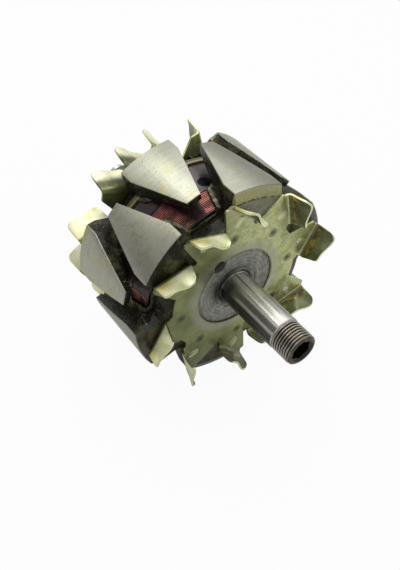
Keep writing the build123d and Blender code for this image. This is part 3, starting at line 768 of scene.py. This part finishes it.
FINISHES = {each.__name__: each for each in (
    shaft_steel, drive_pole_steel, rear_pole_steel, bobbin_plastic, winding_copper, wrap_sheet, fan_sheet,
    rear_fan_sheet, sleeve_plastic, ring_copper, lead_tube, floor_white)}
SLOTS = {row["node"]: row["material_slot"] for row in frame["record"]["subparts"]}
MATERIALS = {}


def material(name):
    """The material of this name, made for the first piece that wears it."""
    if name not in MATERIALS:
        MATERIALS[name] = FINISHES[name](bpy.context.scene.rotor_colours)
    return MATERIALS[name]


# Merging, smoothing and easing of meshes
MERGE = 0.004
FLAT = radians(0.6)
SHARP_EDGE = radians(30.0)
SMOOTH = 35.0
MOULDED_EDGE = 0.15 * MM
RING_EDGE = 0.12 * MM
HALVINGS = 5
NEAR = 0.01


def finish_mesh(shape, name, wears, smooth=SMOOTH):
    """Turn a bmesh into an object with a material, smooth faces and crisp edges."""
    bmesh.ops.recalc_face_normals(shape, faces=shape.faces)
    mesh = bpy.data.meshes.new(name)
    shape.to_mesh(mesh)
    shape.free()
    mesh.polygons.foreach_set("use_smooth", [True] * len(mesh.polygons))
    mesh.set_sharp_from_angle(angle=radians(smooth))
    mesh.materials.append(material(wears))
    piece = bpy.data.objects.new(name, mesh)
    bpy.context.scene.collection.objects.link(piece)
    return piece


def stand_for(node, shape, name=None, wears=None, smooth=SMOOTH):
    """Let a shape stand for its node, in the record's finish or another."""
    piece = finish_mesh(shape, name or "finished_" + node, wears or SLOTS[node], smooth)
    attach(piece, "root")
    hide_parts(node)


def node_shape(node):
    """Merged copy of a node's mesh with its flat faces whole again."""
    shape = bmesh.new()
    shape.from_mesh(bpy.data.objects[node].data)
    bmesh.ops.transform(shape, matrix=bpy.data.objects[node].matrix_world, verts=shape.verts)
    bmesh.ops.remove_doubles(shape, verts=shape.verts, dist=MERGE * MM)
    bmesh.ops.dissolve_degenerate(shape, dist=MERGE * MM, edges=shape.edges)
    bmesh.ops.dissolve_limit(shape, angle_limit=FLAT, use_dissolve_boundaries=False,
                             verts=shape.verts, edges=shape.edges)
    return shape


def mark(shape, name, faces):
    """Give the corners of these faces a mark that a material can read."""
    layer = shape.loops.layers.float.get(name) or shape.loops.layers.float.new(name)
    for face in faces:
        for loop in face.loops:
            loop[layer] = 1.0


def eased(shape, width):
    """Round every sharp edge over by this width in metres, and mark the outer ones as worn."""
    for outer in (True, False):
        sharp = [edge for edge in shape.edges if len(edge.link_faces) == 2 and edge.is_convex == outer
                 and edge.calc_face_angle() > SHARP_EDGE]
        rounded = bmesh.ops.bevel(shape, geom=sharp, offset=width, offset_type="OFFSET", affect="EDGES",
                                  segments=2, profile=0.5, material=-1, clamp_overlap=True)
        if outer:
            mark(shape, "worn", rounded["faces"])
    return shape


def finer(shape, longest, wanted):
    """Halve every wanted edge that is too long a few times, so that its faces can bend."""
    bmesh.ops.triangulate(shape, faces=shape.faces)
    for _ in range(HALVINGS):
        long_edges = [edge for edge in shape.edges if edge.calc_length() > longest * MM
                      and all(wanted(vert.co) for vert in edge.verts)]
        bmesh.ops.subdivide_edges(shape, edges=long_edges, cuts=1)
        bmesh.ops.triangulate(shape, faces=shape.faces)


def lathe(points, closed=False):
    """Surface spun round the shaft's axis from (along, radius) points."""
    shape = bmesh.new()
    verts = [shape.verts.new((x * MM, 0.0, r * MM)) for x, r in points]
    edges = [shape.edges.new(pair) for pair in zip(verts, verts[1:])]
    if closed:
        edges.append(shape.edges.new((verts[-1], verts[0])))
    bmesh.ops.spin(shape, geom=verts + edges, cent=(0, 0, 0), axis=(1, 0, 0), angle=2 * pi,
                   steps=AROUND, use_merge=True)
    bmesh.ops.remove_doubles(shape, verts=shape.verts, dist=0.0005 * MM)
    return shape


def arc(centre, radius, start, end, count):
    """Points of an arc in the (along, radius) plane, angles in degrees."""
    turns = [radians(start + (end - start) * step / count) for step in range(count + 1)]
    return [(centre[0] + radius * cos(turn), centre[1] + radius * sin(turn)) for turn in turns]


def move(shape, place):
    """Move every vertex off the axis to place(along, radius, turn)."""
    for vert in shape.verts:
        radius = hypot(vert.co.y, vert.co.z) / MM
        if radius < NEAR:
            continue
        turn = atan2(vert.co.y, vert.co.z)
        along, out, around = place(vert.co.x / MM, radius, turn)
        vert.co = Vector((along, out * sin(around), out * cos(around))) * MM


def length_property(name, description, millimetres):
    return bpy.props.FloatProperty(
        name=name, description=description, default=millimetres * MM, unit="LENGTH")


def colour_property(name, description, default):
    return bpy.props.FloatVectorProperty(
        name=name, description=description, default=default, subtype="COLOR")


class RotorSizes(bpy.types.PropertyGroup):
    """Sizes of the details that the finished pieces carry."""
    thread_pitch: length_property("Thread pitch", "Distance between two crests", 1.5)
    thread_depth: length_property("Thread depth", "Depth of the thread", 0.85)
    wire: length_property("Wire", "Diameter of the winding's wire", 1.0)
    edge: length_property("Steel edge", "Rounding of the poles' edges", 0.18)
    sheet_edge: length_property("Sheet edge", "Rounding of the fans' edges", 0.2)
    blade_bow: length_property("Blade bow", "How far a fan blade bows outwards", 0.8)
    blade_wave: length_property("Blade wave", "Height of the S in a fan blade", 1.8)


class RotorColours(bpy.types.PropertyGroup):
    """Colours of the finishes and of the floor."""
    drive_steel: colour_property("Drive end steel", "Ground steel of the drive end claws", (0.46, 0.46, 0.37))
    rear_steel: colour_property("Rear steel", "Ground steel of the rear claws", (0.565, 0.57, 0.455))
    # The wire colour is used as the painted highlight on the wires' crests
    wire: colour_property("Wire", "Crests of the enamelled wire", (0.78, 0.25, 0.17))
    wrap: colour_property("Sheet", "Sheet round the coil", (0.085, 0.044, 0.046))
    bobbin: colour_property("Bobbin", "Moulding of the bobbin", (0.34, 0.34, 0.15))
    floor: colour_property("Floor", "Colour of the floor", (0.72, 0.72, 0.72))


class RotorStage(bpy.types.PropertyGroup):
    """Lamps and camera."""
    key: bpy.props.FloatProperty(
        name="Key light", description="Strength of the large lamp above", default=5.0, unit="POWER")
    fill: bpy.props.FloatProperty(
        name="Fill light", description="Strength of the lamp beside the camera", default=0.6, unit="POWER")
    lens: bpy.props.FloatProperty(
        name="Lens", description="Focal length of the camera", default=45.6, unit="CAMERA")


# The thread: rows of faces in each pitch, its flanks, and where it runs out at the seat and at the nose
ROWS_PER_PITCH = 9
FLANKS = (0.12, 0.86)
RUN_OUT = 1.6
LAST_TURN = 0.9

# Radii in the shaft's outline that stand for the lobed wall and for the foot of the wall
LOBED_WALL = 5.0
LOBED_FOOT = 4.2
FOOT_STEP = 0.3


def lobed(turn):
    """Radius of the lobed socket at this turn."""
    inner, outer = SOCKET_RADII
    wave = 0.5 + 0.5 * cos(SOCKET_LOBES * turn)
    return inner + (outer - inner) * wave ** LOBE_FULLNESS


def thread_height(along, turn, pitch):
    """Height of the thread, from 0 in the valley to 1 on the crest."""
    phase = (along / pitch + turn / (2 * pi)) % 1.0
    return share(abs(phase - 0.5) * 2, *FLANKS)


class ROTOR_OT_shaft(bpy.types.Operator):
    """Turned shaft with its thread, drive socket and lead grooves"""
    bl_idname = "rotor.shaft"
    bl_label = "Shaft"

    def execute(self, context):
        pitch = context.scene.rotor_sizes.thread_pitch / MM
        depth = context.scene.rotor_sizes.thread_depth / MM
        shape = lathe(self.outline(pitch))

        def place(along, radius, turn):
            if along > THREAD_START and abs(radius - LOBED_WALL) < NEAR:
                return along, lobed(turn), turn
            if along > THREAD_START and abs(radius - LOBED_FOOT) < NEAR:
                return along, lobed(turn) - FOOT_STEP, turn
            if radius > THREAD_RADIUS - 0.3 and THREAD_START + NEAR < along < NOSE - 0.3:
                run_out = share(along, THREAD_START, THREAD_START + RUN_OUT)
                run_out *= 1 - 0.5 * share(along, NOSE - LAST_TURN, NOSE)
                cut = 1 - thread_height(along, turn, pitch)
                return along, radius - depth * cut * run_out, turn
            if JOURNAL[0] - NEAR < along < GROOVE_END and radius > TAIL_RADIUS + 0.1:
                for lead in LEAD_TURNS:
                    off = (turn - lead + pi) % (2 * pi) - pi
                    if abs(off) * radius < GROOVE_WIDTH / 2:
                        return along, TAIL_RADIUS, turn
            return along, radius, turn

        move(shape, place)
        stand_for("shaft", shape, "rotor_shaft")
        return {"FINISHED"}

    def outline(self, pitch):
        """Half section of the shaft, from the tail's end to the socket's floor."""
        thread_end = NOSE - NOSE_ROUNDING
        rows = round((thread_end - THREAD_START) / pitch * ROWS_PER_PITCH)
        step = (thread_end - THREAD_START) / rows
        thread = [(THREAD_START + step * row, THREAD_RADIUS) for row in range(1, rows + 1)]
        nose = arc((thread_end, THREAD_RADIUS - NOSE_ROUNDING), NOSE_ROUNDING, 75, 0, 5)
        rear, front = JOURNAL
        return [(TAIL, 0.0), (TAIL, TAIL_RADIUS - TAIL_CHAMFER), (TAIL + TAIL_CHAMFER, TAIL_RADIUS),
                (rear, TAIL_RADIUS), (rear, JOURNAL_RADIUS - STEP_CHAMFER),
                (rear + STEP_CHAMFER, JOURNAL_RADIUS), (front, JOURNAL_RADIUS),
                (front, PRESS_RADIUS - STEP_CHAMFER), (front + STEP_CHAMFER, PRESS_RADIUS),
                (-0.1, PRESS_RADIUS), (0.0, SEAT_RADIUS), (THREAD_START - 0.15, SEAT_RADIUS),
                (THREAD_START, THREAD_RADIUS), *thread, *nose, *SOCKET_MOUTH,
                (SOCKET_START, LOBED_WALL), (SOCKET_FLOOR, LOBED_WALL), (SOCKET_FLOOR, LOBED_FOOT),
                (SOCKET_FLOOR - SOCKET_CONE, 0.0)]


class ROTOR_OT_poles(bpy.types.Operator):
    """Two claw poles with eased edges"""
    bl_idname = "rotor.poles"
    bl_label = "Claw poles"

    def execute(self, context):
        for node in ("drive_end_pole", "rear_pole"):
            shape = eased(node_shape(node), context.scene.rotor_sizes.edge)
            stand_for(node, shape)
        return {"FINISHED"}


Fan = namedtuple("Fan", "wears face sign height bow folds")
Fold = namedtuple("Fold", "start along outward length")


def fold_lines(first, pitches, start_radius, end_radius, sweep):
    """Fold lines of a fan's blades, from the first turn on by these pitches, all in degrees."""
    folds = []
    own = first
    for pitch in pitches * 2:
        start, end = (Vector((radius * cos(turn), radius * sin(turn)))
                      for radius, turn in ((start_radius, radians(own)), (end_radius, radians(own + sweep))))
        along = (end - start).normalized()
        outward = Vector((along.y, -along.x))
        if outward.dot(start) < 0:
            outward.negate()
        folds.append(Fold(start, along, outward, (end - start).length))
        own += pitch
    return folds


FANS = {
    "drive_end_fan": Fan(
        wears="fan_sheet", face=0.0, sign=1.0, height=11.0, bow=1.0,
        folds=fold_lines(-33.0, [27, 38, 40, 47, 28], start_radius=53.1, end_radius=41.4, sweep=18.5)),
    "rear_fan": Fan(
        wears="rear_fan_sheet", face=REAR_HUB_FACE, sign=-1.0, height=13.0, bow=0.35,
        folds=fold_lines(-98.5, [22, 31.5, 17.5, 17.5, 28.5, 31.5, 31.5],
                         start_radius=54.0, end_radius=39.6, sweep=15.0))}

# Heights over the fan's plate: where a blade is free to bend, and the plate's top and a dimple's top
FREE_HEIGHT = 1.6
PLATE_TOP = 0.47
DIMPLE_TOP = (0.8, 1.25)
FOLD_CLEAR = 3.0

# The bent blade: longest edge of its faces, how far a point may lie from its fold line, and the S's start
BLADE_FACET = 1.7
BLADE_BESIDE = 3.0
BLADE_OFF = 4.5
WAVE_START = 0.5


class ROTOR_OT_fans(bpy.types.Operator):
    """Two folded sheet fans, their blades bowed and hooked, with eased edges"""
    bl_idname = "rotor.fans"
    bl_label = "Fans"

    def execute(self, context):
        look = context.scene.rotor_sizes
        for node, fan in FANS.items():
            shape = eased(node_shape(node), look.sheet_edge)
            self.bow(shape, look, fan)
            mark(shape, "inside", [part for part in shape.faces if self.faces_in(part, fan)])
            mark(shape, "raised", [part for part in shape.faces if self.slopes(part, fan)])
            stand_for(node, shape, wears=fan.wears)
        return {"FINISHED"}

    def above(self, place, fan):
        """Height over the fan's plate."""
        return (place.x / MM - fan.face) * fan.sign

    def across(self, place):
        """Place in the plane across the shaft."""
        return Vector((place.z, place.y)) / MM

    def faces_in(self, part, fan):
        """Whether a face of a blade looks towards the shaft."""
        middle = part.calc_center_median()
        outwards = Vector((0, middle.y, middle.z)).normalized()
        return self.above(middle, fan) > DIMPLE_TOP[0] and outwards.dot(part.normal) < -0.25

    def slopes(self, part, fan):
        """Whether a face is one of the sloping sides of a dimple."""
        heights = [self.above(vert.co, fan) for vert in part.verts]
        if min(heights) <= PLATE_TOP or not DIMPLE_TOP[0] < max(heights) < DIMPLE_TOP[1]:
            return False
        place = self.across(part.verts[0].co)
        return not any(abs((place - fold.start).dot(fold.outward)) <= FOLD_CLEAR for fold in fan.folds
                       if -1.0 < (place - fold.start).dot(fold.along) < fold.length + 1.0)

    def nearest(self, place, fan):
        """Share of the way along the nearest fold line, and its outward direction."""
        found = []
        for fold in fan.folds:
            way = (place - fold.start).dot(fold.along)
            off = abs((place - fold.start).dot(fold.outward))
            if -BLADE_BESIDE < way < fold.length + BLADE_BESIDE and off < BLADE_OFF:
                found.append((off, way / fold.length, fold.outward))
        return min(found, key=lambda row: row[0])[1:] if found else None

    def bow(self, shape, look, fan):
        """Bend each blade into a shallow S along its free edge."""
        finer(shape, BLADE_FACET, lambda place: self.above(place, fan) > FREE_HEIGHT)
        for vert in shape.verts:
            risen = (self.above(vert.co, fan) - FREE_HEIGHT) / (fan.height - FREE_HEIGHT)
            fold = self.nearest(self.across(vert.co), fan) if risen > 0 else None
            if fold:
                part, outward = fold
                bulge = look.blade_bow * sin(pi * part) + look.blade_wave * sin(2 * pi * part + WAVE_START)
                shift = outward * (fan.bow * bulge * risen ** 1.3)
                vert.co.z += shift.x
                vert.co.y += shift.y


# Points over one turn of wire, and how far the turns wander and lie below the coil's outside
WIRE_POINTS = (0.02, 0.12, 0.3, 0.5, 0.7, 0.88, 0.98)
WIRE_WANDER = 0.12

# The sheet's rows, ragged front and creases, and its torn part round one claw
WRAP_ROWS = 14
WRAP_RAGGED = 1.2
WRAP_CREASE = 0.16
TORN_TURN = radians(-34.0)
TORN_WIDTH = radians(24.0)
TORN_SHARE = 0.42


class ROTOR_OT_coil(bpy.types.Operator):
    """Bobbin, winding and its sheet"""
    bl_idname = "rotor.coil"
    bl_label = "Coil"

    def execute(self, context):
        stand_for("coil_bobbin", eased(node_shape("coil_bobbin"), MOULDED_EDGE), "finished_bobbin")
        self.winding(context.scene.rotor_sizes.wire / MM)
        self.wrap()
        return {"FINISHED"}

    def winding(self, wire):
        """The outer turns of wire, side by side, and a plain inside."""
        inner, outer = COIL_RADII
        outline = [(WINDING_FRONT, inner), (WINDING_REAR, inner)]
        for number in range(round((WINDING_FRONT - WINDING_REAR) / WIRE_PITCH)):
            start = WINDING_REAR + number * WIRE_PITCH
            for part in WIRE_POINTS:
                sunk = wire / 2 * (1 - sqrt(1 - (2 * part - 1) ** 2))
                outline.append((start + WIRE_PITCH * part, outer - sunk))
        shape = lathe(outline, closed=True)

        def slanted(along, radius, turn):
            if radius < inner + 1:
                return along, radius, turn
            lift = noise.noise(Vector((along * 0.35, cos(turn) * 9, sin(turn) * 9)))
            return along + WIRE_WANDER * lift, radius - WIRE_WANDER - WIRE_WANDER * lift, turn

        move(shape, slanted)
        stand_for("field_winding", shape, "winding_turns", smooth=60.0)

    def wrap(self):
        """The sheet, with a ragged front edge and shallow creases."""
        inner, outer = WRAP_RADII
        rear = WINDING_REAR + 0.05
        length = WRAP_FRONT - WINDING_REAR - 0.2
        outside = [(rear + length * row / WRAP_ROWS, outer) for row in range(WRAP_ROWS + 1)]
        shape = lathe([(WRAP_FRONT - 0.1, inner), (rear, inner), *outside], closed=True)

        def creased(along, radius, turn):
            ragged = noise.noise(Vector((cos(turn) * 12, sin(turn) * 12, 3.0)))
            at_front = share(along, WRAP_FRONT - 3.0, WRAP_FRONT)
            crease = noise.noise(Vector((along * 0.12, cos(turn) * 14, sin(turn) * 14)))
            out = radius + (WRAP_CREASE * crease if radius > inner + 0.1 else 0.0)
            torn = share(cos(turn - TORN_TURN), cos(TORN_WIDTH), 1.0)
            kept = 1 - TORN_SHARE * min(1.0, 4 * torn)
            from_rear = along - at_front * abs(ragged) * WRAP_RAGGED - WINDING_REAR
            return WINDING_REAR + from_rear * kept, out, turn

        move(shape, creased)
        stand_for("winding_wrap", shape, "wrinkled_wrap", smooth=50.0)


class ROTOR_OT_slip_rings(bpy.types.Operator):
    """Slip rings, their sleeve, and the leads with their tubes"""
    bl_idname = "rotor.slip_rings"
    bl_label = "Slip rings and leads"

    def execute(self, context):
        for node in ("slip_ring_insulator", "slip_ring_inner", "slip_ring_outer"):
            stand_for(node, eased(node_shape(node), RING_EDGE))
        for node in ("coil_lead_a", "coil_lead_b", "lead_sleeve_a", "lead_sleeve_b"):
            stand_for(node, node_shape(node))
        return {"FINISHED"}


# Where the photograph was taken from
CAMERA_PLACE = Vector((185.71, -162.22, 245.92)) * MM
CAMERA_RIGHT = Vector((0.58001, 0.81405, 0.03017))
CAMERA_DOWN = Vector((0.58854, -0.39315, -0.70644))

# Lamps as place and size in metres
KEY_LAMP = ((-0.35, 0.15, 0.75), (1.0, 0.9))
FILL_LAMP = ((0.5, -0.6, 0.45), (0.5, 0.5))

# The studio's light: its brightest direction, and the level from the far side to there
BRIGHT_SIDE = Vector((-0.1, 0.75, 0.65)).normalized()
STUDIO_LEVELS = ((0.12, 0.06), (0.3, 0.12), (0.45, 0.34), (0.7, 0.5), (0.9, 0.62))
STUDIO_MIRRORED = 0.2
FLOOR_SIZE = 3.0
FLOOR_GAP = 0.2 * MM


class ROTOR_OT_stage(bpy.types.Operator):
    """Pale floor, soft lamps and the camera"""
    bl_idname = "rotor.stage"
    bl_label = "Stage"

    def execute(self, context):
        look = context.scene.rotor_stage
        self.floor()
        self.world()
        self.lamp("key_lamp", *KEY_LAMP, look.key)
        self.lamp("fill_lamp", *FILL_LAMP, look.fill)
        self.camera(look.lens)
        context.scene.view_settings.view_transform = "Standard"
        return {"FINISHED"}

    def floor(self):
        shape = bmesh.new()
        bmesh.ops.create_grid(shape, x_segments=1, y_segments=1, size=FLOOR_SIZE)
        bmesh.ops.translate(shape, vec=(0, 0, CAD_LOW[2] - FLOOR_GAP), verts=shape.verts)
        finish_mesh(shape, "floor", "floor_white")

    def world(self):
        """Studio light by direction: dim to the left, brightest above and to the right."""
        world = bpy.data.worlds.new("studio")
        world.use_nodes = True
        sky = Nodes(world.node_tree)
        place = sky.node("ShaderNodeTexCoord", out="Generated")
        side = sky.node("ShaderNodeVectorMath", {"operation": "DOT_PRODUCT"}, [place, BRIGHT_SIDE], "Value")
        side = sky.node("ShaderNodeMapRange", inputs={"Value": side, "From Min": -1.0})
        light = sky.node("ShaderNodeBackground", inputs=[sky.greys(side, STUDIO_LEVELS)])
        white = sky.node("ShaderNodeBackground", inputs=[WHITE])
        seen = sky.backdrop_share(1.0, STUDIO_MIRRORED)
        mixed = sky.node("ShaderNodeMixShader", inputs=[seen, light, white])
        sky.node("ShaderNodeOutputWorld", inputs=[mixed], out=None)
        bpy.context.scene.world = world

    def lamp(self, name, place, size, power):
        """Area lamp that looks at the rotor."""
        light = bpy.data.lights.new(name, "AREA")
        light.shape = "RECTANGLE"
        light.size, light.size_y = size
        light.energy = power
        lamp = bpy.data.objects.new(name, light)
        lamp.location = place
        lamp.rotation_euler = (-Vector(place)).to_track_quat("-Z", "Y").to_euler()
        bpy.context.scene.collection.objects.link(lamp)

    def camera(self, lens):
        """The photograph's own view, in front of the drive end and above it."""
        camera = bpy.data.cameras.new("camera")
        camera.lens = lens
        camera.sensor_width = 36.0
        camera.clip_start = 0.01
        holder = bpy.data.objects.new("camera", camera)
        forward = CAMERA_RIGHT.cross(CAMERA_DOWN)
        turned = Matrix((CAMERA_RIGHT, -CAMERA_DOWN, -forward)).transposed().to_4x4()
        holder.matrix_world = Matrix.Translation(CAMERA_PLACE) @ turned
        bpy.context.scene.collection.objects.link(holder)
        bpy.context.scene.camera = holder


class ROTOR_PT_panel(bpy.types.Panel):
    """Lists the rotor's sizes, colours and operators"""
    bl_idname = "ROTOR_PT_panel"
    bl_label = "Rotor"
    bl_space_type = "VIEW_3D"
    bl_region_type = "UI"
    bl_category = "Rotor"

    def draw(self, context):
        scene = context.scene
        for group in (scene.rotor_sizes, scene.rotor_colours, scene.rotor_stage):
            for name in group.__annotations__:
                self.layout.prop(group, name)
        for operator in OPERATORS:
            self.layout.operator(operator.bl_idname)


OPERATORS = (ROTOR_OT_stage, ROTOR_OT_shaft, ROTOR_OT_poles, ROTOR_OT_fans, ROTOR_OT_coil,
             ROTOR_OT_slip_rings)
CLASSES = (RotorSizes, RotorColours, RotorStage, *OPERATORS, ROTOR_PT_panel)


def register():
    for each in CLASSES:
        bpy.utils.register_class(each)
    bpy.types.Scene.rotor_sizes = bpy.props.PointerProperty(type=RotorSizes)
    bpy.types.Scene.rotor_colours = bpy.props.PointerProperty(type=RotorColours)
    bpy.types.Scene.rotor_stage = bpy.props.PointerProperty(type=RotorStage)


def unregister():
    del bpy.types.Scene.rotor_stage
    del bpy.types.Scene.rotor_colours
    del bpy.types.Scene.rotor_sizes
    for each in reversed(CLASSES):
        bpy.utils.unregister_class(each)


def main():
    register()
    bpy.ops.rotor.stage()
    bpy.ops.rotor.shaft()
    bpy.ops.rotor.poles()
    bpy.ops.rotor.fans()
    bpy.ops.rotor.coil()
    bpy.ops.rotor.slip_rings()


if __name__ == "__main__":
    main()
